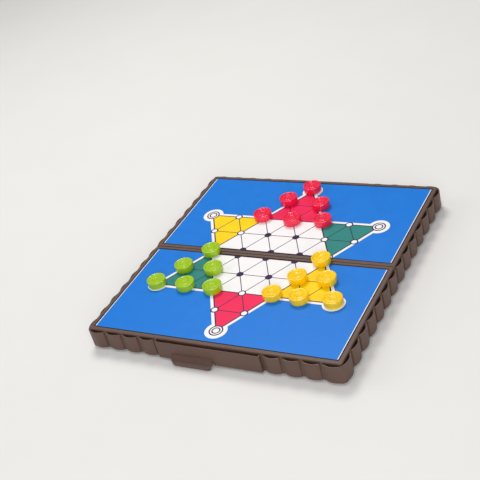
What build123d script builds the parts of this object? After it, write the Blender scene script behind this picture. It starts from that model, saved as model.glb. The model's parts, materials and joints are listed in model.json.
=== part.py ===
"""Folding magnetic Chinese checkers board, opened flat: two hinged tray halves, a snap clasp and eighteen pieces.

X runs along the fold, -Y is the clasp side and +Z is up.  The origin is on the table, under the middle of the
whole footprint.  All lengths are millimetres.  Every piece is first made with the fold on the line y = 0, and
FOLD_Y moves it to its place when it is written.
"""
from build123d import *
from math import acos, atan2, cos, degrees, hypot, radians, sin, sqrt
import os

# ---- playing lattice: four rows of spots on each side of the fold ----
STAR_ROWS = 4
STAR_SPLIT = 8.0        # extra distance across the fold between the two halves of the star
TIP_MARGIN = 11.3       # from the star's tip to the far edge of the printed sheet

# ---- printed sheets and the iron under them ----
SHEET_LENGTH = 185.0    # along the fold
SHEET_DEPTH = 91.5      # away from the fold
SHEET_THICK = 0.35
IRON_THICK = 0.35
SHEET_PLAY = 0.7        # gap between a sheet's edge and the rim
SHEET_SINK = 0.15       # how far the print lies below the rim
SHEET_CORNER = 1.0

# ---- tray halves ----
RIM = 3.5               # width of the rim round a sheet
CASE_HEIGHT = 15.0      # from the parting plane to the top of the rim
PARTING_PLAY = 0.1      # each wall stops this short of the parting plane
FOLD_PLAY = 0.15        # each half stops this short of the fold line
DECK = 1.5              # plate under the iron sheet
WALL = 2.4              # from the rim's outer face to the hollow
CORNER = 2.5            # corner radius at the outer corners
RIM_ROUND = 0.6         # rounded edge of the rim

# ---- flutes and panel on the outer walls ----
FLANGE = 1.0            # thickness of the rim's overhanging edge
LIP_DROP = 1.5          # from the top of the rim to the lip of a flute
FLUTE_BULGE = 2.5       # how far a flute stands out beyond the rim
FLUTE_SIDE = 0.9        # of that, its straight sides
FLUTE_CORNER = 1.1      # rounding between a flute's sides and its crown
FLUTE_LAND = 1.7        # flat rib between two flutes
FLUTE_DRAFT = 2.5       # degrees
LIP_THICK = 0.7         # wall of a flute at its open top
POCKET_SINK = 1.0       # how far the open pocket reaches in behind the rim's outer face
POCKET_DEPTH = 3.5      # below the lip
SIDE_FLUTES = 7         # on each side wall of a half
CORNER_FLUTES = 4       # on the outer wall, each side of the panel
PANEL_LENGTH = 81.0     # flat panel in the middle of the outer wall
PANEL_ROUND = 0.6

# ---- hinge ----
KNUCKLE_R = 2.0         # the knuckles' undersides and the feet reach the table together
KNUCKLE_LENGTH = 8.0
KNUCKLE_PLAY = 0.4      # end play between knuckles
KNUCKLE_CLEAR = 0.3     # relief round the other half's knuckle
HINGE_X = 58.0          # middle of each hinge from the middle of the board
HINGE_PIN_R = 0.8
PIN_FIT = 0.02          # radial, where a pin is driven in
TURN_FIT = 0.06         # radial, where something turns on a pin

# ---- locating feet ----
FOOT_LENGTH = 12.0
FOOT_THICK = 1.5
FOOT_ROOT = 4.0         # height of its root on the wall, above the parting plane
FOOT_CLEAR = 0.3        # between a foot and the wall that it nests behind
FRONT_FEET_Y = (20.0, 80.0)     # distances from the fold
REAR_FEET_Y = (40.0, 62.0)

# ---- clasp ----
CLASP_LENGTH = 31.0     # along X
CLASP_X = -12.25        # its middle
CLASP_END_PLAY = 0.3
CLASP_REACH = 7.0       # from its pin to its free end
CLASP_THICK = 1.5
CLASP_GRIP = 2.4        # width of the raised finger grip along its free end
CLASP_GRIP_RISE = 0.5
CLASP_BARREL_R = 1.35
CLASP_PIN_R = 0.75
CLASP_PIN_HOLD = 3.0    # length of pin held in the panel at each end
CLASP_RISE = 3.6        # pin above the parting plane
CLASP_INSET = 1.2       # pin behind the panel's face
CLASP_CLEAR = 0.35      # round the barrel and behind the plate
HOOK_REACH = 2.6
HOOK_THICK = 1.5
HOOK_CHAMFER = 2.5      # cut corners of the free end
HOOK_LEAD = 0.7         # lead-in that rides over the catch
CATCH_PLAY = 0.15       # between the hook and its ledge

# ---- playing pieces ----
PIECE_R = 7.0
PIECE_HEIGHT = 5.3
PIECE_FOOT_R = 6.65
PIECE_EDGE = 0.5        # rounded outer edges
PIECE_RING = 1.3        # width of the raised ring at the top edge
PIECE_DISH = 0.7        # depth of the dished top
BOSS_R = 3.3            # raised ring in the middle of the dish
BOSS_WIDTH = 0.8
BOSS_HEIGHT = 0.4
MAGNET_R = 4.0
MAGNET_THICK = 1.5
MAGNET_SINK = 0.1       # above the piece's foot
MAGNET_PLAY = 0.05

# Where the pieces stand: spot along the row, row counted from the fold, and how far off its spot each was set
# down, along X and Y.  The two pieces on row 0 stand on the front half's rim.
PIECES = {
    "green": [(-3, -2, -0.5, -0.5), (-2.5, -1, 0, 0), (-2, -2, 0.5, 0), (-2, 0, 0.5, -3.0),
              (-1.5, -1, 1.5, 0.5), (-1, -2, 0, 0)],
    "red": [(0, 4, -0.5, 1.5), (-0.5, 3, -1.5, 3.5), (0.5, 3, 4.0, 0), (-1, 2, -2.0, 1.0),
            (0, 2, 1.0, -2.0), (1, 2, 2.5, -0.5)],
    "yellow": [(2, 0, -2.5, -2.5), (1.5, -1, 0, 0), (2.5, -1, -1.5, 1.0), (1, -2, 1.0, 0),
               (2, -2, -1.5, -0.5), (3, -2, 0, 0)],
}

# ---- worked out from the sizes above ----
HALF_X = SHEET_LENGTH / 2 + RIM
OUTER_Y = SHEET_DEPTH + 2 * RIM
ROW_PITCH = (RIM + SHEET_DEPTH - TIP_MARGIN - STAR_SPLIT / 2) / STAR_ROWS
SPOT_PITCH = ROW_PITCH * 2 / sqrt(3)
PARTING_Z = KNUCKLE_R
WALL_Z = PARTING_Z + PARTING_PLAY
TOP_Z = PARTING_Z + CASE_HEIGHT
LIP_Z = TOP_Z - LIP_DROP
PRINT_Z = TOP_Z - SHEET_SINK
IRON_Z = PRINT_Z - SHEET_THICK
DECK_Z = IRON_Z - IRON_THICK
HOLLOW_Z = DECK_Z - DECK
PANEL_Y = OUTER_Y + FLUTE_BULGE
CLASP_Y = PANEL_Y - CLASP_INSET
CLASP_Z = PARTING_Z + CLASP_RISE
PLATE_IN_Y = CLASP_Y - CLASP_THICK / 2      # the plate's inner face when the clasp is shut
HOOK_SPAN = HOOK_REACH + CLASP_THICK / 2
# The clasp hangs open until the edge of its hook's lead-in meets the table.
HOOK_EDGE = CLASP_REACH - HOOK_LEAD
CLASP_SPLAY = degrees(atan2(HOOK_SPAN, HOOK_EDGE) + acos(CLASP_Z / hypot(HOOK_SPAN, HOOK_EDGE)))
CLASP_FACE = CLASP_THICK / 2 + CLASP_GRIP_RISE      # from the pin to the face of the grip
CLASP_TIP_Y = CLASP_Y + CLASP_REACH * sin(radians(CLASP_SPLAY)) + CLASP_FACE * cos(radians(CLASP_SPLAY))
FOLD_Y = (CLASP_TIP_Y - PANEL_Y) / 2


def block(x0, x1, y0, y1, z0, z1):
    """A box between six planes."""
    return Pos((x0 + x1) / 2, (y0 + y1) / 2, (z0 + z1) / 2) * Box(x1 - x0, y1 - y0, z1 - z0)


def rod(x0, x1, y, z, radius):
    """A cylinder along X."""
    return Pos((x0 + x1) / 2, y, z) * Rot(0, 90, 0) * Cylinder(radius, x1 - x0)


def upright_edges(shape):
    """The vertical edges of a shape."""
    return shape.edges().filter_by(Axis.Z)


# ---- flutes ----
def flute_outline(width, inset=0.0):
    """A barrel flute seen from above, or its hollow: two short sides and a crown, bulging towards -Y."""
    half, side, crown = width / 2 - inset, FLUTE_SIDE - inset, FLUTE_BULGE - inset
    outline = ThreePointArc((-half, -side), (0, -crown), (half, -side)) + Polyline(
        (half, -side), (half, POCKET_SINK), (-half, POCKET_SINK), (-half, -side)
    )
    face = make_face(outline)
    return fillet(face.vertices().group_by(Axis.Y)[0], FLUTE_CORNER - inset / 2)


def flute(width):
    """One flute, standing on the rim's outer face, which is y = 0 here."""
    face = Pos(0, 0, LIP_Z) * flute_outline(width)
    solid = extrude(face, amount=LIP_Z - WALL_Z, dir=(0, 0, -1), taper=FLUTE_DRAFT)
    lip = [e for e in solid.edges().group_by(Axis.Z)[-1] if e.center().Y < -LIP_THICK]
    return fillet(lip, LIP_THICK / 3)


def flute_pocket(width):
    """The open pocket behind a flute's lip, and the gap above it under the rim's edge."""
    pocket = extrude(Pos(0, 0, LIP_Z - POCKET_DEPTH) * flute_outline(width, LIP_THICK), amount=POCKET_DEPTH)
    gap = block(-width / 2, width / 2, -FLUTE_BULGE, POCKET_SINK, LIP_Z, TOP_Z - FLANGE)
    return pocket + gap


def flute_places():
    """Place and width of every flute on one half: the two side walls, and the outer wall beside the panel."""
    side_pitch = OUTER_Y / SIDE_FLUTES
    front_pitch = (HALF_X - PANEL_LENGTH / 2) / CORNER_FLUTES
    places = []
    for i in range(SIDE_FLUTES):
        y = -side_pitch * (i + 0.5)
        places.append((Pos(HALF_X, y, 0) * Rot(0, 0, 90), side_pitch - FLUTE_LAND))
        places.append((Pos(-HALF_X, y, 0) * Rot(0, 0, -90), side_pitch - FLUTE_LAND))
    for i in range(CORNER_FLUTES):
        x = HALF_X - front_pitch * (i + 0.5)
        places.append((Pos(x, -OUTER_Y, 0), front_pitch - FLUTE_LAND))
        places.append((Pos(-x, -OUTER_Y, 0), front_pitch - FLUTE_LAND))
    return places


# ---- tray halves ----
def hinge_knuckles(offsets, extra_r=0.0, extra_end=0.0):
    """Knuckles of both hinges, at the given places counted in knuckles from each hinge's middle."""
    step = KNUCKLE_LENGTH + KNUCKLE_PLAY
    half = KNUCKLE_LENGTH / 2 + extra_end
    middles = [side * HINGE_X + n * step for side in (-1, 1) for n in offsets]
    return [rod(x - half, x + half, 0, PARTING_Z, KNUCKLE_R + extra_r) for x in middles]


def tray_shell():
    """One half without its hinge, feet and clasp features, on the -Y side of the fold."""
    body = block(-HALF_X, HALF_X, -OUTER_Y, -FOLD_PLAY, WALL_Z, TOP_Z)
    body = fillet(upright_edges(body).group_by(Axis.Y)[0], CORNER)
    body = fillet(body.faces().sort_by(Axis.Z)[-1].edges(), RIM_ROUND)
    for place, width in flute_places():
        body += place * flute(width)
    panel = block(-PANEL_LENGTH / 2 + FLUTE_LAND / 2, PANEL_LENGTH / 2 - FLUTE_LAND / 2,
                  -PANEL_Y, -OUTER_Y + POCKET_SINK, WALL_Z, LIP_Z)
    outer = panel.faces().sort_by(Axis.Y)[0].edges()
    body += fillet(outer.filter_by(Axis.Z) + outer.sort_by(Axis.Z)[-1:], PANEL_ROUND)
    for side in (-1, 1):
        corner = Pos(side * (HALF_X - CORNER), -OUTER_Y + CORNER, (WALL_Z + LIP_Z) / 2)
        post = corner * Cylinder(CORNER + FLUTE_BULGE / 2, LIP_Z - WALL_Z)
        body += fillet(post.edges().group_by(Axis.Z)[-1], LIP_THICK / 3)

    cuts = [place * flute_pocket(width) for place, width in flute_places()]
    slot_half = PANEL_LENGTH / 2 - FLUTE_LAND / 2 - LIP_THICK
    cuts.append(block(-slot_half, slot_half, -PANEL_Y + LIP_THICK, -OUTER_Y + POCKET_SINK,
                      LIP_Z - POCKET_DEPTH, LIP_Z))
    cuts.append(block(-slot_half - LIP_THICK, slot_half + LIP_THICK, -PANEL_Y, -OUTER_Y + POCKET_SINK,
                      LIP_Z, TOP_Z - FLANGE))
    hollow = block(-HALF_X + WALL, HALF_X - WALL, -OUTER_Y + WALL, -FOLD_PLAY - WALL, WALL_Z, HOLLOW_Z)
    cuts.append(fillet(upright_edges(hollow), CORNER))
    seat = block(-SHEET_LENGTH / 2 - SHEET_PLAY, SHEET_LENGTH / 2 + SHEET_PLAY,
                 -RIM - SHEET_DEPTH - SHEET_PLAY, -RIM + SHEET_PLAY, DECK_Z, TOP_Z)
    cuts.append(fillet(upright_edges(seat), SHEET_CORNER))
    return body - cuts


def feet(distances):
    """Feet on both side walls, which also guide the two halves together as they close."""
    inner = HALF_X - WALL
    shapes = []
    for y in distances:
        root = block(inner - FOOT_THICK, inner, -y - FOOT_LENGTH / 2, -y + FOOT_LENGTH / 2,
                     WALL_Z, PARTING_Z + FOOT_ROOT)
        toe = block(inner - FOOT_THICK, inner - FOOT_CLEAR, -y - FOOT_LENGTH / 2, -y + FOOT_LENGTH / 2,
                    0, WALL_Z)
        foot = root + toe
        shapes += [foot, mirror(foot, Plane.YZ)]
    return shapes


def hinged_half(shell, own, other, feet_at):
    """A shell with its own knuckles, relief for the other half's, bored for the pins, and its feet."""
    half = shell - hinge_knuckles(other, KNUCKLE_CLEAR, KNUCKLE_PLAY)
    half += hinge_knuckles(own)
    return half + feet(feet_at)


def clasp_pocket():
    """The pocket in the front panel that the clasp swings in, and the holes for its pin."""
    half = CLASP_LENGTH / 2 + CLASP_END_PLAY
    top = CLASP_Z + CLASP_BARREL_R + CLASP_CLEAR
    back = CLASP_Y - CLASP_BARREL_R - CLASP_CLEAR
    pocket = block(CLASP_X - half, CLASP_X + half, -PANEL_Y, -back, WALL_Z, top)
    hole = rod(CLASP_X - half - CLASP_PIN_HOLD, CLASP_X + half + CLASP_PIN_HOLD, -CLASP_Y, CLASP_Z,
               CLASP_PIN_R + PIN_FIT)
    return pocket + hole


def catch_pocket():
    """In the rear panel: room for the shut clasp's plate, and a slot through the wall for its hook."""
    half = CLASP_LENGTH / 2 + CLASP_END_PLAY
    ledge_end = CLASP_REACH - HOOK_THICK - CLASP_RISE - CATCH_PLAY + PARTING_Z
    plate_end = CLASP_REACH - CLASP_RISE + CLASP_CLEAR + PARTING_Z
    recess = block(CLASP_X - half, CLASP_X + half, -PANEL_Y, -PLATE_IN_Y + CLASP_CLEAR, WALL_Z, plate_end)
    slot = block(CLASP_X - half, CLASP_X + half, -PANEL_Y, -OUTER_Y + WALL, ledge_end, plate_end)
    return recess + slot


def front_case(shell):
    half = hinged_half(shell, (-1, 1), (0,), FRONT_FEET_Y)
    return half - hinge_bores((-1, 1), PIN_FIT) - clasp_pocket()


def rear_case(shell):
    half = hinged_half(shell, (0,), (-1, 1), REAR_FEET_Y) - catch_pocket()
    return mirror(half - hinge_bores((0,), TURN_FIT), Plane.XZ)


def hinge_bores(offsets, fit):
    """The pin holes through one half's knuckles."""
    step = KNUCKLE_LENGTH + KNUCKLE_PLAY
    middles = [side * HINGE_X + n * step for side in (-1, 1) for n in offsets]
    return [rod(x - step / 2, x + step / 2, 0, PARTING_Z, HINGE_PIN_R + fit) for x in middles]


def hinge_pin(side):
    half = KNUCKLE_LENGTH * 1.5 + KNUCKLE_PLAY
    pin = rod(side * HINGE_X - half, side * HINGE_X + half, 0, PARTING_Z, HINGE_PIN_R)
    return chamfer(pin.edges().filter_by(GeomType.CIRCLE), HINGE_PIN_R / 4)


def sheet(side, low, high, inset=0.0):
    """A thin sheet in the seat of the front (-1) or rear (+1) half."""
    near = side * (RIM + inset)
    far = side * (RIM + SHEET_DEPTH - inset)
    half = SHEET_LENGTH / 2 - inset
    plate = block(-half, half, min(near, far), max(near, far), low, high)
    return fillet(upright_edges(plate), SHEET_CORNER)


# ---- clasp ----
def clasp():
    """The clasp, modelled shut and hanging from its pin, then swung open until its hook stands on the table."""
    half_t = CLASP_THICK / 2
    profile = Polyline(
        (-half_t, 0),
        (-half_t, -CLASP_REACH + CLASP_GRIP),
        (-CLASP_FACE, -CLASP_REACH + CLASP_GRIP - CLASP_GRIP_RISE / 2),
        (-CLASP_FACE, -CLASP_REACH),
        (HOOK_SPAN - HOOK_LEAD, -CLASP_REACH),
        (HOOK_SPAN, -HOOK_EDGE),
        (HOOK_SPAN, -CLASP_REACH + HOOK_THICK),
        (half_t, -CLASP_REACH + HOOK_THICK),
        (half_t, 0),
        (-half_t, 0),
    )
    plate = extrude(Plane.YZ * make_face(profile), amount=CLASP_LENGTH / 2, both=True)
    corners = [
        Pos(side * CLASP_LENGTH / 2, HOOK_SPAN / 2, -CLASP_REACH)
        * Rot(0, 45, 0)
        * Box(HOOK_CHAMFER * sqrt(2), 2 * HOOK_SPAN, HOOK_CHAMFER * sqrt(2))
        for side in (-1, 1)
    ]
    shape = plate - corners
    shape = fillet(shape.faces().sort_by(Axis.Y)[0].edges(), CLASP_GRIP_RISE / 2)
    shape += rod(-CLASP_LENGTH / 2, CLASP_LENGTH / 2, 0, 0, CLASP_BARREL_R)
    shape -= rod(-CLASP_LENGTH, CLASP_LENGTH, 0, 0, CLASP_PIN_R + TURN_FIT)
    return Pos(CLASP_X, -CLASP_Y, CLASP_Z) * Rot(-CLASP_SPLAY, 0, 0) * shape


def clasp_pin():
    half = CLASP_LENGTH / 2 + CLASP_END_PLAY + CLASP_PIN_HOLD
    pin = rod(CLASP_X - half, CLASP_X + half, -CLASP_Y, CLASP_Z, CLASP_PIN_R)
    return chamfer(pin.edges().filter_by(GeomType.CIRCLE), CLASP_PIN_R / 4)


# ---- playing pieces ----
def piece():
    """A draught with a ringed, dished top and a recess for its magnet, standing on z = 0."""
    dish_z = PIECE_HEIGHT - PIECE_DISH
    boss_z = dish_z + BOSS_HEIGHT
    dish_r = PIECE_R - PIECE_RING
    recess_r = MAGNET_R + MAGNET_PLAY
    recess_z = MAGNET_SINK + MAGNET_THICK
    profile = Polyline(
        (0, recess_z),
        (recess_r, recess_z),
        (recess_r, 0),
        (PIECE_FOOT_R, 0),
        (PIECE_R, PIECE_HEIGHT * 0.8),
        (PIECE_R, PIECE_HEIGHT),
        (dish_r, PIECE_HEIGHT),
        (dish_r - PIECE_DISH / 2, dish_z),
        (BOSS_R, dish_z),
        (BOSS_R - BOSS_HEIGHT / 2, boss_z),
        (BOSS_R - BOSS_WIDTH, boss_z),
        (BOSS_R - BOSS_WIDTH - BOSS_HEIGHT / 2, dish_z),
        (0, dish_z),
        (0, recess_z),
    )
    shape = revolve(Plane.XZ * make_face(profile), Axis.Z)
    rims = [e for e in shape.edges().filter_by(GeomType.CIRCLE)
            if e.radius > dish_r - 0.01 and e.center().Z > PIECE_HEIGHT - 0.01]
    shape = fillet(rims, PIECE_EDGE)
    foot = [e for e in shape.edges().filter_by(GeomType.CIRCLE)
            if e.radius > recess_r + PIECE_EDGE and e.center().Z < 0.01]
    return fillet(foot, PIECE_EDGE)


def magnet():
    body = Pos(0, 0, MAGNET_SINK + MAGNET_THICK / 2) * Cylinder(MAGNET_R, MAGNET_THICK)
    return chamfer(body.edges().filter_by(GeomType.CIRCLE), MAGNET_SINK * 2)


def standing_place(u, v, shift_x, shift_y):
    """Where a piece on row v stands; row 0 stands on the rim, and every other row on the print."""
    side = (v > 0) - (v < 0)
    return (u * SPOT_PITCH + shift_x,
            v * ROW_PITCH + side * STAR_SPLIT / 2 + shift_y,
            PRINT_Z if side else TOP_Z)


def write(name, shape):
    shape = Pos(0, FOLD_Y, 0) * shape
    shape.label = name
    export_step(shape, os.path.join("parts", name + ".step"))


def main():
    os.makedirs("parts", exist_ok=True)
    shell = tray_shell()
    write("front_case", front_case(shell))
    write("rear_case", rear_case(shell))
    for name, side in (("front", -1), ("rear", 1)):
        write(name + "_iron_sheet", sheet(side, DECK_Z, IRON_Z, SHEET_PLAY))
        write(name + "_play_sheet", sheet(side, IRON_Z, PRINT_Z))
    write("hinge_pin_left", hinge_pin(-1))
    write("hinge_pin_right", hinge_pin(1))
    write("clasp", clasp())
    write("clasp_pin", clasp_pin())
    draught, disc = piece(), magnet()
    for colour, spots in PIECES.items():
        for number, spot in enumerate(spots, 1):
            place = Pos(*standing_place(*spot))
            write(f"{colour}_piece_{number}", place * draught)
            write(f"{colour}_magnet_{number}", place * disc)
    print(f"fold at y = {FOLD_Y:.3f}, clasp pin at y = {FOLD_Y - CLASP_Y:.3f}, z = {CLASP_Z:.3f}")
    print(f"clasp hangs {CLASP_SPLAY:.2f} degrees open, print at z = {PRINT_Z:.2f}, rim at z = {TOP_Z:.2f}")


main()
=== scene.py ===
"""Looks of a folding magnetic Chinese checkers board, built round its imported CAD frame.

The file is laid out as a Blender add-on and run as a script.  The tray halves, the clasp and the metal parts
keep their CAD shape and get their finish here.  The printed sheets and the draughts are modelled here.
"""

import json
import math

import bpy
from bpy.props import FloatProperty, FloatVectorProperty, IntProperty, PointerProperty
from mathutils import Matrix, Vector


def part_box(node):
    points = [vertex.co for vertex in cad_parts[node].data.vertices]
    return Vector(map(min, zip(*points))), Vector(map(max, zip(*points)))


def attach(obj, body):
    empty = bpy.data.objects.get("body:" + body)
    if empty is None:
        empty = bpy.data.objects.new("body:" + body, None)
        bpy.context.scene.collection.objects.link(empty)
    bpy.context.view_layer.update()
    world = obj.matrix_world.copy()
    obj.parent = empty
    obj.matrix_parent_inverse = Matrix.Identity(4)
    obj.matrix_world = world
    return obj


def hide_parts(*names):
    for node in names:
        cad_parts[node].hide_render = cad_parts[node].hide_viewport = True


bl_info = {
    "name": "Chinese Checkers Board",
    "version": (1, 0, 0),
    "blender": (4, 5, 0),
    "location": "3D View > Sidebar > Board",
    "description": "Printed sheets, draughts, finishes and a studio for a folding Chinese checkers board",
    "category": "Add Mesh",
}

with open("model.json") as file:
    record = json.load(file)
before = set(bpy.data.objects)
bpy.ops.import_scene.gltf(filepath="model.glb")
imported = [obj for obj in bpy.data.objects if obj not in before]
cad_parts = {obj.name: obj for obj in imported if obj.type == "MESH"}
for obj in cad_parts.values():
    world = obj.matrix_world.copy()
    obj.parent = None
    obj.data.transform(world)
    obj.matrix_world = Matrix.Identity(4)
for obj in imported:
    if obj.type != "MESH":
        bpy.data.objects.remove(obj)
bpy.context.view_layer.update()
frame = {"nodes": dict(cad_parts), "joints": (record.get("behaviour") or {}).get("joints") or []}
MM = 0.001
FOLD_Y = next(j["pos_m"][1] for j in frame["joints"] if j["name"] == "fold")
HALVES = {"front": -1, "rear": 1}
TEAMS = ("green", "red", "yellow")
TEAM_SIZE = 6
MAGNET_FIT = 0.05 * MM         # between a magnet and the wall of its recess
LEVEL_SLACK = 0.02 * MM        # how far off a height a point may be and still count as on it
RADIUS_SLACK = 0.05 * MM

# The star's grid on one half, in spots along a row and rows out from the fold.
STAR_ROWS = 4
ROW_REACH = {0: 2, 1: 2.5, 2: 3, 3: 0.5, 4: 0}         # row: its last spot to either side
LEAN_REACH = {0: 2, 1: 2, 2: 2, -1: 3, -2: 4}          # slanted line, by its place on row 0: its last row
HEX_REACH = 2                                          # spots from the star's middle to its hexagon's corner
POINT_BASE_ROW = 2                                     # row that the side points' far edges lie on
LINE_STEP = 0.1                                        # of an ink step, between lines that cross
DISC_SIDES = 64                                        # of a printed disc
CORNER_STEPS = 6                                       # of a sheet's rounded corner
EDGE_STEPS = 4                                         # of a draught's rounded edge
SMOOTH_ANGLE = math.radians(35)

SKY_COLOUR = "E9EDF2"
SKY_STRENGTH = 0.32
SENSOR_WIDTH = 36.0
FLOOR_SIZE = 6.0
LAMPS = (
    # name, place in metres, width in metres, watts, colour
    ("key", (-0.33, 0.46, 1.0), 0.45, 6.3, "FFFAF3"),
    ("top", (0.1, -0.2, 1.0), 0.16, 1.2, "FFFFFF"),
    ("fill", (0.65, -1.0, 0.55), 0.9, 10.0, "FFFDFA"),
    ("side", (-0.95, -0.3, 0.6), 0.6, 2.0, "FFFFFF"),
)


def linear(srgb_hex):
    """Linear RGB of an sRGB colour written as six hex digits."""
    channels = [int(srgb_hex[i : i + 2], 16) / 255 for i in (0, 2, 4)]
    return tuple(c / 12.92 if c <= 0.04045 else ((c + 0.055) / 1.055) ** 2.4 for c in channels)


def colour_property(name, description, srgb_hex):
    return FloatVectorProperty(
        name=name, description=description, subtype="COLOR", size=3, min=0, max=1, default=linear(srgb_hex)
    )


def length_property(name, description, millimetres):
    return FloatProperty(
        name=name, description=description, subtype="DISTANCE", unit="LENGTH", min=0, precision=5,
        default=millimetres * MM,
    )


def angle_property(name, description, degrees):
    return FloatProperty(name=name, description=description, subtype="ANGLE", default=math.radians(degrees))


# ---------------------------------------------------------------- settings
class BoardColours(bpy.types.PropertyGroup):
    case: colour_property("Case", "Moulded tray halves and clasp", "594136")
    field: colour_property("Field", "Printed background round the star", "0A78DA")
    crimson: colour_property("Crimson points", "Star's near and far points", "F01E58")
    yellow: colour_property("Yellow points", "Star's yellow points", "FFD500")
    green: colour_property("Green points", "Star's dark green points", "2A847F")
    ink: colour_property("Grid ink", "Lines and spots", "321C44")
    card: colour_property("Card", "White of the printed sheets", "F6F4F5")
    # Board: dark colour of the sheets' cut sides and crushed top edges, mostly painted shade standing in for
    # the shadowed gap between each sheet and the rim
    board: colour_property("Board", "Cut edge of the sheets", "2B2628")
    green_draught: colour_property("Green draughts", "Moulded plastic of the green team", "A2C80E")
    red_draught: colour_property("Red draughts", "Moulded plastic of the red team", "F01848")
    yellow_draught: colour_property("Yellow draughts", "Moulded plastic of the yellow team", "FFCE08")
    wire: colour_property("Pins", "Hinge and clasp pins", "B9B9BB")
    iron: colour_property("Iron sheets", "Sheets that the magnets hold to", "9FA1A4")
    ferrite: colour_property("Magnets", "Magnets in the draughts", "2E2D30")


class PrintSizes(bpy.types.PropertyGroup):
    split: length_property("Split", "Extra distance across the fold between the star's halves", 8.0)
    tip_margin: length_property("Tip margin", "From the star's tip to the sheet's far edge", 11.3)
    border: length_property("Border", "White border left unprinted at the sheet's short edges", 0.75)
    crushed_edge: length_property("Crushed edge", "Edge of the sheets pressed over by the cutting die", 0.25)
    corner: length_property("Corner", "Corner radius of the sheets", 1.0)
    outline: length_property("Outline", "White band round the star", 2.6)
    line: length_property("Line", "Width of the grid lines", 0.6)
    edge_line: length_property("Edge line", "Width of the lines round the star's points", 0.9)
    ring: length_property("Ring", "Width of the rings and of the lines round the spots", 0.95)
    spot: length_property("Spot", "Radius of the spots on the edges, with their line", 3.0)
    inner_spot: length_property("Inner spot", "Radius of the solid spots inside the hexagon", 2.7)
    tip_disc: length_property("Tip disc", "Radius of the white disc at each tip", 8.0)
    tip_ring: length_property("Tip ring", "Radius of the larger ring at each tip", 5.1)
    tip_eye: length_property("Tip eye", "Radius of the smaller ring at each tip", 3.2)
    ink_step: length_property("Ink step", "Height of one layer of ink over the one below", 0.008)


class DraughtSizes(bpy.types.PropertyGroup):
    ring: length_property("Ring", "Width of the raised ring at the top edge", 1.3)
    dish: length_property("Dish", "Depth of the dished top", 0.7)
    boss: length_property("Boss", "Radius of the raised ring in the dish", 3.3)
    boss_width: length_property("Boss width", "Width of that ring", 0.8)
    boss_height: length_property("Boss height", "Height of that ring above the dish", 0.4)
    foot_inset: length_property("Foot inset", "How far the foot draws in", 0.35)
    edge: length_property("Edge", "Rounding of the ring and the foot", 0.5)
    boss_edge: length_property("Boss edge", "Rounding of the ring in the dish", 0.15)
    segments: IntProperty(name="Segments", description="Steps round a draught", default=72, min=24, max=128)


class StudioSettings(bpy.types.PropertyGroup):
    floor: colour_property("Floor", "Paper that the board lies on", "E9E8E6")
    azimuth: angle_property("Azimuth", "How far the camera looks to the left of +Y, seen from above", 35.32)
    elevation: angle_property("Elevation", "Camera's height over the horizon", 32.56)
    roll: angle_property("Roll", "How far the camera is tipped to its right", 16.15)
    distance: length_property("Distance", "From the camera to the point that it looks at", 740.8)
    aim_left: length_property("Aim left", "How far left of the board's middle that point is", 31.0)
    aim_behind: length_property("Aim behind", "How far behind the fold that point is", 15.3)
    lens: FloatProperty(name="Lens", description="Focal length in millimetres", default=74.6, min=1)


# ---------------------------------------------------------------- mesh helpers
def deselect():
    if bpy.context.object and bpy.context.object.mode != "OBJECT":
        bpy.ops.object.mode_set(mode="OBJECT")
    bpy.ops.object.select_all(action="DESELECT")


def make_active(piece):
    deselect()
    piece.select_set(True)
    bpy.context.view_layer.objects.active = piece
    return piece


def pick(piece, test, kind="faces"):
    """Goes into edit mode with only those faces or edges selected that pass a test."""
    make_active(piece)
    bpy.ops.object.mode_set(mode="EDIT")
    bpy.ops.mesh.select_mode(type={"faces": "FACE", "edges": "EDGE"}[kind])
    bpy.ops.mesh.select_all(action="DESELECT")
    bpy.ops.object.mode_set(mode="OBJECT")
    for item in {"faces": piece.data.polygons, "edges": piece.data.edges}[kind]:
        item.select = test(item)
    bpy.ops.object.mode_set(mode="EDIT")


def object_mode():
    bpy.ops.object.mode_set(mode="OBJECT")


def paint(piece, slot, test):
    """Gives the faces that pass a test the material in a slot."""
    pick(piece, test)
    piece.active_material_index = slot
    bpy.ops.object.material_slot_assign()
    object_mode()


def settle(piece):
    """Puts an object's place, turn and scale into its mesh, and leaves the object at the origin."""
    make_active(piece)
    bpy.ops.object.transform_apply(location=True, rotation=True, scale=True)
    return piece


def apply_modifier(piece, name, kind, **settings):
    make_active(piece)
    modifier = piece.modifiers.new(name, kind)
    for key, value in settings.items():
        setattr(modifier, key, value)
    bpy.ops.object.modifier_apply(modifier=name)


def join(pieces, name):
    deselect()
    for piece in pieces:
        piece.select_set(True)
    bpy.context.view_layer.objects.active = pieces[0]
    bpy.ops.object.join()
    joined = bpy.context.object
    joined.name = joined.data.name = name
    return joined


def round_circle(piece, radius, height, rounding):
    """Rounds the edges on one level circle about Z."""
    points = piece.data.vertices

    def on_circle(edge):
        ends = [points[i].co for i in edge.vertices]
        level = all(abs(p.z - height) < LEVEL_SLACK for p in ends)
        return level and all(abs(math.hypot(p.x, p.y) - radius) < RADIUS_SLACK for p in ends)

    pick(piece, on_circle, "edges")
    bpy.ops.mesh.bevel(offset=rounding, segments=EDGE_STEPS, affect="EDGES")
    object_mode()


def copy_to(piece, name, place):
    """A copy with its own mesh, moved to a place that is then written into the mesh."""
    twin = bpy.data.objects.new(name, piece.data.copy())
    twin.data.name = name
    twin.data.transform(Matrix.Translation(place))
    bpy.context.collection.objects.link(twin)
    return twin


# ---------------------------------------------------------------- materials
def add_node(material, kind, settings=None, inputs=None):
    """Adds a shader node.  An input is a value, or a node and the name of the output that is linked to it."""
    tree = material.node_tree
    made = tree.nodes.new(kind)
    for name, value in (settings or {}).items():
        setattr(made, name, value)
    for name, value in (inputs or {}).items():
        if isinstance(value, tuple) and isinstance(value[0], bpy.types.Node):
            tree.links.new(value[0].outputs[value[1]], made.inputs[name])
        else:
            made.inputs[name].default_value = value
    return made


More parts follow.
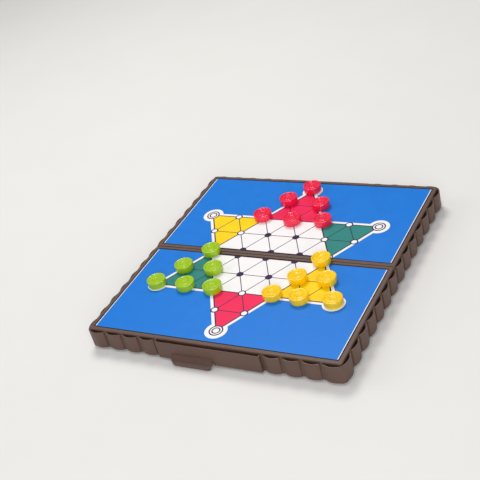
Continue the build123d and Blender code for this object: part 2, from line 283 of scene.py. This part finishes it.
def new_material(name):
    material = bpy.data.materials.new(name)
    material.use_nodes = True
    material.node_tree.nodes.clear()
    return material


def finish_material(material, shader):
    add_node(material, "ShaderNodeOutputMaterial", inputs={"Surface": (shader, "BSDF")})
    return material


def per_metre(size_mm):
    """Texture scale whose pattern repeats about every size_mm."""
    return 1 / (size_mm * MM)


def shades(material, colour, size_mm, spread):
    """The colour, mottled lighter and darker by a share, in clouds of about size_mm.

    Gives back the coordinates, the clouds and the mottled colour.
    """
    place = add_node(material, "ShaderNodeTexCoord")
    clouds = add_node(material, "ShaderNodeTexNoise", inputs={
        "Vector": (place, "Object"), "Scale": per_metre(size_mm), "Detail": 3.0, "Roughness": 0.55})
    ramp = add_node(material, "ShaderNodeValToRGB", inputs={"Fac": (clouds, "Fac")})
    ramp.color_ramp.elements[0].position = 0.3
    ramp.color_ramp.elements[0].color = (*[c * (1 - spread) for c in colour], 1)
    ramp.color_ramp.elements[1].position = 0.7
    ramp.color_ramp.elements[1].color = (*[min(1, c * (1 + spread)) for c in colour], 1)
    return place, clouds, ramp


def moulded_abs(name, colour):
    """ABS, injection moulded in a spark-eroded tool: satin, with a fine even grain and slight flow clouds.

    The real grain is about 0.1 mm; it is drawn as 0.7 mm so that it shows.
    """
    material = new_material(name)
    place, clouds, ramp = shades(material, colour, 26, 0.10)
    grain = add_node(material, "ShaderNodeTexNoise", inputs={
        "Vector": (place, "Object"), "Scale": per_metre(0.7), "Detail": 2.0, "Roughness": 0.6})
    bump = add_node(material, "ShaderNodeBump", inputs={
        "Height": (grain, "Fac"), "Strength": 0.35, "Distance": 0.06 * MM})
    rough = add_node(material, "ShaderNodeMapRange", inputs={
        "Value": (clouds, "Fac"), "From Min": 0.3, "From Max": 0.7, "To Min": 0.46, "To Max": 0.58})
    shader = add_node(material, "ShaderNodeBsdfPrincipled", inputs={
        "Base Color": (ramp, "Color"), "Roughness": (rough, "Result"), "Normal": (bump, "Normal"),
        "IOR": 1.53})
    return finish_material(material, shader)


def laminated_print(name, colour, spread=0.03):
    """Offset ink on card under a clear laminate: smooth, with a slow ripple in its gloss, faintly mottled."""
    material = new_material(name)
    place, clouds, ramp = shades(material, colour, 9, spread)
    ripple = add_node(material, "ShaderNodeTexNoise", inputs={
        "Vector": (place, "Object"), "Scale": per_metre(14), "Detail": 1.0})
    bump = add_node(material, "ShaderNodeBump", inputs={
        "Height": (ripple, "Fac"), "Strength": 0.25, "Distance": 0.12 * MM})
    rough = add_node(material, "ShaderNodeMapRange", inputs={
        "Value": (clouds, "Fac"), "From Min": 0.3, "From Max": 0.7, "To Min": 0.36, "To Max": 0.44})
    shader = add_node(material, "ShaderNodeBsdfPrincipled", inputs={
        "Base Color": (ramp, "Color"), "Roughness": (rough, "Result"), "Normal": (bump, "Normal"),
        "IOR": 1.5, "Specular IOR Level": 0.2})
    return finish_material(material, shader)


def cut_edge_painted_shade(name, colour):
    """Black-cored board, die cut: matt and fibrous at its edge and back. Its dark colour on the sheets' sides
    and crushed edges is mostly painted shade, standing in for the shadowed gap between sheet and rim.
    """
    material = new_material(name)
    place, _, ramp = shades(material, colour, 0.8, 0.2)
    fibres = add_node(material, "ShaderNodeTexNoise", inputs={
        "Vector": (place, "Object"), "Scale": per_metre(0.3), "Detail": 2.0})
    bump = add_node(material, "ShaderNodeBump", inputs={
        "Height": (fibres, "Fac"), "Strength": 0.4, "Distance": 0.03 * MM})
    shader = add_node(material, "ShaderNodeBsdfPrincipled", inputs={
        "Base Color": (ramp, "Color"), "Roughness": 0.85, "Normal": (bump, "Normal"), "IOR": 1.45})
    return finish_material(material, shader)


def polished_polystyrene(name, colour):
    """Polystyrene, moulded in a polished tool: glossy, with faint flow marks."""
    material = new_material(name)
    place, clouds, ramp = shades(material, colour, 5, 0.06)
    flow = add_node(material, "ShaderNodeTexNoise", inputs={
        "Vector": (place, "Object"), "Scale": per_metre(2.2), "Detail": 2.0})
    bump = add_node(material, "ShaderNodeBump", inputs={
        "Height": (flow, "Fac"), "Strength": 0.15, "Distance": 0.05 * MM})
    rough = add_node(material, "ShaderNodeMapRange", inputs={
        "Value": (clouds, "Fac"), "From Min": 0.3, "From Max": 0.7, "To Min": 0.12, "To Max": 0.2})
    shader = add_node(material, "ShaderNodeBsdfPrincipled", inputs={
        "Base Color": (ramp, "Color"), "Roughness": (rough, "Result"), "Normal": (bump, "Normal"),
        "IOR": 1.59})
    return finish_material(material, shader)


def drawn_steel(name, colour, scratch_mm, roughness):
    """Steel, drawn or rolled: bright, with fine lines along X, each about 25 times as long as it is wide."""
    material = new_material(name)
    place, _, ramp = shades(material, colour, 12, 0.12)
    along = add_node(material, "ShaderNodeMapping", inputs={
        "Vector": (place, "Object"), "Scale": (0.04, 1.0, 1.0)})
    lines = add_node(material, "ShaderNodeTexNoise", inputs={
        "Vector": (along, "Vector"), "Scale": per_metre(scratch_mm), "Detail": 2.0})
    bump = add_node(material, "ShaderNodeBump", inputs={
        "Height": (lines, "Fac"), "Strength": 0.2, "Distance": 0.02 * MM})
    rough = add_node(material, "ShaderNodeMapRange", inputs={
        "Value": (lines, "Fac"), "From Min": 0.3, "From Max": 0.7,
        "To Min": roughness - 0.08, "To Max": roughness + 0.08})
    shader = add_node(material, "ShaderNodeBsdfPrincipled", inputs={
        "Base Color": (ramp, "Color"), "Roughness": (rough, "Result"), "Normal": (bump, "Normal"),
        "Metallic": 1.0})
    return finish_material(material, shader)


def sintered_ferrite(name, colour):
    """Ferrite magnet, pressed and sintered: dark grey, dull and finely pitted."""
    material = new_material(name)
    place, _, ramp = shades(material, colour, 1.5, 0.25)
    pits = add_node(material, "ShaderNodeTexNoise", inputs={
        "Vector": (place, "Object"), "Scale": per_metre(0.5), "Detail": 3.0})
    bump = add_node(material, "ShaderNodeBump", inputs={
        "Height": (pits, "Fac"), "Strength": 0.5, "Distance": 0.05 * MM})
    shader = add_node(material, "ShaderNodeBsdfPrincipled", inputs={
        "Base Color": (ramp, "Color"), "Roughness": 0.6, "Normal": (bump, "Normal"), "IOR": 2.2})
    return finish_material(material, shader)


def studio_paper(name, colour):
    """Seamless background paper: matt, with a barely seen tooth."""
    material = new_material(name)
    _, _, ramp = shades(material, colour, 60, 0.01)
    shader = add_node(material, "ShaderNodeBsdfPrincipled", inputs={
        "Base Color": (ramp, "Color"), "Roughness": 0.9, "IOR": 1.4})
    return finish_material(material, shader)


def dress(node, material):
    """Gives a CAD node its finish."""
    mesh = frame["nodes"][node].data
    mesh.materials.clear()
    mesh.materials.append(material)


# ---------------------------------------------------------------- operators
class BOARD_OT_dress_case(bpy.types.Operator):
    """Give the tray halves and the clasp their moulded finish"""

    bl_idname = "board.dress_case"
    bl_label = "Case and clasp"

    def execute(self, context):
        plastic = moulded_abs("moulded_abs_taupe", context.scene.board_colours.case)
        for node in ("front_case", "rear_case", "clasp"):
            dress(node, plastic)
        return {"FINISHED"}


class BOARD_OT_dress_metal(bpy.types.Operator):
    """Give the pins, the iron sheets and the magnets their finish"""

    bl_idname = "board.dress_metal"
    bl_label = "Metal parts"

    def execute(self, context):
        colours = context.scene.board_colours
        wire = drawn_steel("drawn_steel_wire", colours.wire, 0.15, 0.3)
        iron = drawn_steel("tinned_iron_sheet", colours.iron, 0.4, 0.42)
        ferrite = sintered_ferrite("sintered_ferrite", colours.ferrite)
        for node in ("hinge_pin_left", "hinge_pin_right", "clasp_pin"):
            dress(node, wire)
        for half in HALVES:
            dress(half + "_iron_sheet", iron)
        for team in TEAMS:
            for number in range(1, TEAM_SIZE + 1):
                dress(f"{team}_magnet_{number}", ferrite)
        return {"FINISHED"}


class StarPrint:
    """The star's flat inks on one half, each laid a step above the one before."""

    def __init__(self, half, sizes, materials):
        low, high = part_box(half + "_play_sheet")
        self.side = HALVES[half]
        self.sizes = sizes
        self.materials = materials
        self.top = high.z
        self.near = low.y if self.side > 0 else high.y
        self.far = high.y if self.side > 0 else low.y
        self.row = (abs(self.far - FOLD_Y) - sizes.tip_margin - sizes.split / 2) / STAR_ROWS
        self.pitch = self.row * 2 / math.sqrt(3)
        self.level = 1
        self.inks = []

    def place(self, u, v):
        """The point u pitches along and v rows out from this half of the star's own middle line."""
        return Vector((u * self.pitch, FOLD_Y + self.side * (self.sizes.split / 2 + v * self.row), 0))

    def keep(self, flat):
        """Keeps a flat as part of the print, at the present level."""
        flat.location.z = self.top + self.level * self.sizes.ink_step
        self.inks.append(settle(flat))

    def lay(self, ink):
        """Keeps the active flat, in one ink."""
        bpy.context.object.data.materials.append(self.materials[ink])
        self.keep(bpy.context.object)

    def polygon(self, ink, centre, radius, corners, turn=0.0):
        deselect()
        bpy.ops.mesh.primitive_circle_add(
            vertices=corners, radius=radius, fill_type="NGON", location=centre, rotation=(0, 0, turn)
        )
        self.lay(ink)

    def target(self, centre, *bands):
        """A round mark in bands, each as its outer radius and its ink, from the outside in."""
        radius, ink = bands[0]
        deselect()
        bpy.ops.mesh.primitive_circle_add(
            vertices=DISC_SIDES, radius=radius, fill_type="NGON", location=centre
        )
        mark = bpy.context.object
        for name in ("ink", "card"):
            mark.data.materials.append(self.materials[name])
        mark.data.polygons[0].material_index = ("ink", "card").index(ink)
        bpy.ops.object.mode_set(mode="EDIT")
        for inner, ink in bands[1:]:
            bpy.ops.mesh.inset(thickness=radius - inner)
            mark.active_material_index = ("ink", "card").index(ink)
            bpy.ops.object.material_slot_assign()
            radius = inner
        object_mode()
        self.keep(mark)

    def line(self, ink, start, end, width):
        """A straight line of ink with its ends cut square."""
        along = end - start
        deselect()
        bpy.ops.mesh.primitive_plane_add(
            size=1, location=(start + end) / 2, rotation=(0, 0, math.atan2(along.y, along.x))
        )
        bpy.context.object.scale = (along.length + width, width, 1)
        self.lay(ink)

    def spots(self):
        """Every spot of this half as (u, v, kind)."""
        for v, reach in ROW_REACH.items():
            for i in range(int(2 * reach) + 1):
                u = i - reach
                inside = v < POINT_BASE_ROW and abs(u) + v / 2 < HEX_REACH
                tip = (v == POINT_BASE_ROW and abs(u) == reach) or v == STAR_ROWS
                yield u, v, "tip" if tip else "inner" if inside else "edge"

    def lines(self):
        """Every grid line of this half as its two ends, and whether it bounds a point of the star."""
        for v, reach in ROW_REACH.items():
            if reach:
                yield (-reach, v), (reach, v), v == POINT_BASE_ROW
        for lean in (-1, 1):
            for start, last in LEAN_REACH.items():
                yield (start * lean, 0), ((start + last / 2) * lean, last), abs(start) == HEX_REACH
            yield (-2.5 * lean, 1), (-2 * lean, 2), False

    def ground(self):
        """The white star that shows as a band round the points, with a disc at each tip."""
        reach = STAR_ROWS * self.row + 2 * self.sizes.outline
        for turn in (0.0, math.pi):
            self.polygon("card", self.place(0, 0), reach, 3, turn)
            self.level += 1
        for u, v, kind in self.spots():
            if kind == "tip":
                self.polygon("card", self.place(u, v), self.sizes.tip_disc, DISC_SIDES)
        self.level += 1

    def points(self):
        """The three coloured triangles, each centred two thirds of its height from its tip."""
        inwards = math.pi if self.side > 0 else 0.0
        left, right = ("yellow", "green") if self.side > 0 else ("green", "yellow")
        for u, v, ink, turn in (
            (-HEX_REACH, 4 / 3, left, inwards),
            (HEX_REACH, 4 / 3, right, inwards),
            (0, 8 / 3, "crimson", inwards + math.pi),
        ):
            self.polygon(ink, self.place(u, v), self.row * 4 / 3, 3, turn)
        self.level += 1

    def grid(self):
        for start, end, bounds in self.lines():
            width = self.sizes.edge_line if bounds else self.sizes.line
            self.line("ink", self.place(*start), self.place(*end), width)
            self.level += LINE_STEP
        self.level += 1

    def marks(self):
        sizes = self.sizes
        bands = {
            "inner": ((sizes.inner_spot, "ink"),),
            "edge": ((sizes.spot, "ink"), (sizes.spot - sizes.ring, "card")),
            "tip": ((sizes.tip_ring, "ink"), (sizes.tip_ring - sizes.ring, "card"),
                    (sizes.tip_eye, "ink"), (sizes.tip_eye - sizes.ring, "card")),
        }
        for u, v, kind in self.spots():
            self.target(self.place(u, v), *bands[kind])

    def make(self):
        """Lays all the inks, cuts them off at the fold and gives them their thickness."""
        self.ground()
        self.points()
        self.grid()
        self.marks()
        star = join(self.inks, "star")
        cut = self.near + self.side * self.sizes.crushed_edge
        pick(star, lambda face: True)
        bpy.ops.mesh.bisect(plane_co=(0, cut, 0), plane_no=(0, self.side, 0), clear_inner=True)
        object_mode()
        apply_modifier(star, "film", "SOLIDIFY", thickness=self.level * self.sizes.ink_step, offset=-1)
        return star


class BOARD_OT_printed_sheets(bpy.types.Operator):
    """Make the two printed sheets, each a card with its half of the star in flat inks"""

    bl_idname = "board.printed_sheets"
    bl_label = "Printed sheets"

    def execute(self, context):
        colours = context.scene.board_colours
        sizes = context.scene.board_print
        inks = {
            "card": laminated_print("laminated_white_card", colours.card, 0.015),
            "field": laminated_print("laminated_blue_ink", colours.field),
            "crimson": laminated_print("laminated_crimson_ink", colours.crimson),
            "yellow": laminated_print("laminated_yellow_ink", colours.yellow),
            "green": laminated_print("laminated_green_ink", colours.green),
            "ink": laminated_print("laminated_purple_ink", colours.ink),
            "board": cut_edge_painted_shade("cut_black_board", colours.board),
        }
        for half in HALVES:
            card = self.card(half, sizes, inks)
            star = StarPrint(half, sizes, inks).make()
            sheet = join([card, star], half + "_printed_sheet")
            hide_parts(half + "_play_sheet")
            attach(sheet, half + "_half")
        return {"FINISHED"}

    def card(self, half, sizes, inks):
        """The card: rounded corners, crushed top edges, and a blue field between two white borders."""
        low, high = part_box(half + "_play_sheet")
        deselect()
        bpy.ops.mesh.primitive_cube_add(size=1, location=(low + high) / 2)
        card = bpy.context.object
        card.scale = high - low
        settle(card)
        for ink in ("card", "field", "board"):
            card.data.materials.append(inks[ink])
        self.round_corners(card, sizes.corner)
        pick(card, lambda face: face.normal.z > 0.9)
        bpy.ops.mesh.region_to_loop()
        bpy.ops.mesh.bevel(offset=sizes.crushed_edge, segments=1, affect="EDGES")
        object_mode()
        field = high.x - sizes.border
        for side in (-1, 1):
            pick(card, lambda face: True)
            bpy.ops.mesh.bisect(plane_co=(side * field, 0, 0), plane_no=(side, 0, 0))
            object_mode()
        paint(card, 1, lambda face: face.normal.z > 0.9 and abs(face.center.x) < field)
        # The sides and crushed top edges get the dark board colour: painted shade for the shadowed gap
        # between the sheet and the rim.
        paint(card, 2, lambda face: face.normal.z < 0.9)
        return card

    def round_corners(self, card, radius):
        points = card.data.vertices

        def upright(edge):
            low, high = (points[i].co.z for i in edge.vertices)
            return abs(high - low) > LEVEL_SLACK

        pick(card, upright, "edges")
        bpy.ops.mesh.bevel(offset=radius, segments=CORNER_STEPS, affect="EDGES")
        object_mode()


class BOARD_OT_draughts(bpy.types.Operator):
    """Make the eighteen draughts, one modelled for each team and the rest copied"""

    bl_idname = "board.draughts"
    bl_label = "Draughts"

    def execute(self, context):
        colours = context.scene.board_colours
        for team in TEAMS:
            colour = getattr(colours, team + "_draught")
            master = self.draught(team, context.scene.board_draught)
            master.data.materials.append(polished_polystyrene(f"polished_polystyrene_{team}", colour))
            for number in range(1, TEAM_SIZE + 1):
                node = f"{team}_piece_{number}"
                low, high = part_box(node)
                foot = Vector(((low.x + high.x) / 2, (low.y + high.y) / 2, low.z))
                piece = copy_to(master, f"{team}_draught_{number}", foot)
                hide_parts(node)
                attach(piece, node)
            bpy.data.objects.remove(master)
        return {"FINISHED"}

    def draught(self, team, sizes):
        """A draught standing on the origin, the size of its CAD node, with a recess for its magnet."""
        low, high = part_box(team + "_piece_1")
        radius, height = (high.x - low.x) / 2, high.z - low.z
        deselect()
        bpy.ops.mesh.primitive_cylinder_add(
            vertices=sizes.segments, radius=radius, depth=height, location=(0, 0, height / 2)
        )
        piece = settle(bpy.context.object)
        self.shape_top(piece, radius, sizes)
        self.shape_foot(piece, radius, low.z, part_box(team + "_magnet_1"), sizes)
        self.round_edges(piece, radius, height, sizes)
        make_active(piece)
        bpy.ops.object.shade_smooth_by_angle(angle=SMOOTH_ANGLE)
        return piece

    def shape_top(self, piece, radius, sizes):
        """Sinks the dish inside the raised ring, and raises the boss in the dish."""
        steps = (
            (sizes.ring, 0),
            (sizes.dish / 2, -sizes.dish),
            (radius - sizes.ring - sizes.dish / 2 - sizes.boss, 0),
            (sizes.boss_height / 2, sizes.boss_height),
            (sizes.boss_width - sizes.boss_height / 2, 0),
            (sizes.boss_height / 2, -sizes.boss_height),
        )
        pick(piece, lambda face: face.normal.z > 0.9)
        for inset, rise in steps:
            bpy.ops.mesh.inset(thickness=inset)
            if rise:
                bpy.ops.transform.translate(value=(0, 0, rise))
        object_mode()

    def shape_foot(self, piece, radius, foot_z, magnet, sizes):
        """Draws the foot in and sinks the recess that holds the magnet."""
        magnet_low, magnet_high = magnet
        recess = (magnet_high.x - magnet_low.x) / 2 + MAGNET_FIT
        share = 1 - sizes.foot_inset / radius
        pick(piece, lambda face: face.normal.z < -0.9)
        bpy.ops.transform.resize(value=(share, share, 1), center_override=(0, 0, 0))
        bpy.ops.mesh.inset(thickness=radius * share - recess)
        bpy.ops.mesh.extrude_region_move(
            TRANSFORM_OT_translate={"value": (0, 0, magnet_high.z - foot_z)}
        )
        object_mode()

    def round_edges(self, piece, radius, height, sizes):
        """Rounds the foot, the raised ring and the boss, each circle by its radius and height."""
        dish = height - sizes.dish
        crown = dish + sizes.boss_height
        inner = sizes.boss - sizes.boss_width
        slope = sizes.boss_height / 2
        for circle, z, rounding in (
            (radius, height, sizes.edge),
            (radius - sizes.ring, height, sizes.edge),
            (radius - sizes.foot_inset, 0, sizes.edge),
            (sizes.boss, dish, sizes.boss_edge),
            (sizes.boss - slope, crown, sizes.boss_edge),
            (inner, crown, sizes.boss_edge),
            (inner - slope, dish, sizes.boss_edge),
        ):
            round_circle(piece, circle, z, rounding)


class BOARD_OT_studio(bpy.types.Operator):
    """Lay the floor, hang the lights and set up the camera"""

    bl_idname = "board.studio"
    bl_label = "Studio"

    def execute(self, context):
        studio = context.scene.board_studio
        self.floor(studio)
        world = bpy.data.worlds.new("studio")
        world.use_nodes = True
        sky = world.node_tree.nodes["Background"]
        sky.inputs["Color"].default_value = (*linear(SKY_COLOUR), 1)
        sky.inputs["Strength"].default_value = SKY_STRENGTH
        context.scene.world = world
        for lamp in LAMPS:
            self.lamp(*lamp)
        context.scene.view_settings.view_transform = "Standard"
        self.camera(studio)
        return {"FINISHED"}

    def floor(self, studio):
        deselect()
        bpy.ops.mesh.primitive_plane_add(size=FLOOR_SIZE, location=(0, 0, 0))
        floor = bpy.context.object
        floor.name = "floor"
        floor.data.materials.append(studio_paper("studio_paper", studio.floor))

    def lamp(self, name, place, size, power, tint):
        """A square soft light that faces the middle of the board."""
        light = bpy.data.lights.new(name, "AREA")
        light.size = size
        light.energy = power
        light.color = linear(tint)
        lamp = bpy.data.objects.new(name, light)
        lamp.location = place
        lamp.rotation_euler = (-Vector(place)).to_track_quat("-Z", "Y").to_euler()
        bpy.context.collection.objects.link(lamp)

    def camera(self, studio):
        """Aimed at a point of the playing face, a little left of the middle and behind the fold."""
        aim = Vector((-studio.aim_left, FOLD_Y + studio.aim_behind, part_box("front_play_sheet")[1].z))
        level_back = Vector((math.sin(studio.azimuth), -math.cos(studio.azimuth), 0))
        back = level_back * math.cos(studio.elevation)
        back.z = math.sin(studio.elevation)
        level_right = Vector((math.cos(studio.azimuth), math.sin(studio.azimuth), 0))
        right = Matrix.Rotation(-studio.roll, 3, back) @ level_right
        turn = Matrix((right, back.cross(right), back)).transposed().to_4x4()
        data = bpy.data.cameras.new("camera")
        data.lens = studio.lens
        data.sensor_width = SENSOR_WIDTH
        data.clip_start = 0.01
        data.clip_end = 20.0
        camera = bpy.data.objects.new("camera", data)
        camera.matrix_world = Matrix.Translation(aim + back * studio.distance) @ turn
        bpy.context.collection.objects.link(camera)
        bpy.context.scene.camera = camera


class BOARD_PT_panel(bpy.types.Panel):
    bl_idname = "BOARD_PT_panel"
    bl_label = "Chinese Checkers Board"
    bl_space_type = "VIEW_3D"
    bl_region_type = "UI"
    bl_category = "Board"

    def draw(self, context):
        for operator in OPERATORS:
            self.layout.operator(operator.bl_idname)
        for group in SETTINGS:
            box = self.layout.box()
            for name in SETTINGS[group].__annotations__:
                box.prop(getattr(context.scene, group), name)


SETTINGS = {
    "board_colours": BoardColours,
    "board_print": PrintSizes,
    "board_draught": DraughtSizes,
    "board_studio": StudioSettings,
}
OPERATORS = (
    BOARD_OT_dress_case,
    BOARD_OT_dress_metal,
    BOARD_OT_printed_sheets,
    BOARD_OT_draughts,
    BOARD_OT_studio,
)


def register():
    for group, settings in SETTINGS.items():
        bpy.utils.register_class(settings)
        setattr(bpy.types.Scene, group, PointerProperty(type=settings))
    for shown in (*OPERATORS, BOARD_PT_panel):
        bpy.utils.register_class(shown)


def unregister():
    for shown in reversed((*OPERATORS, BOARD_PT_panel)):
        bpy.utils.unregister_class(shown)
    for group, settings in SETTINGS.items():
        delattr(bpy.types.Scene, group)
        bpy.utils.unregister_class(settings)


def main():
    register()
    for operator in OPERATORS:
        group, name = operator.bl_idname.split(".")
        getattr(getattr(bpy.ops, group), name)()


if __name__ == "__main__":
    main()
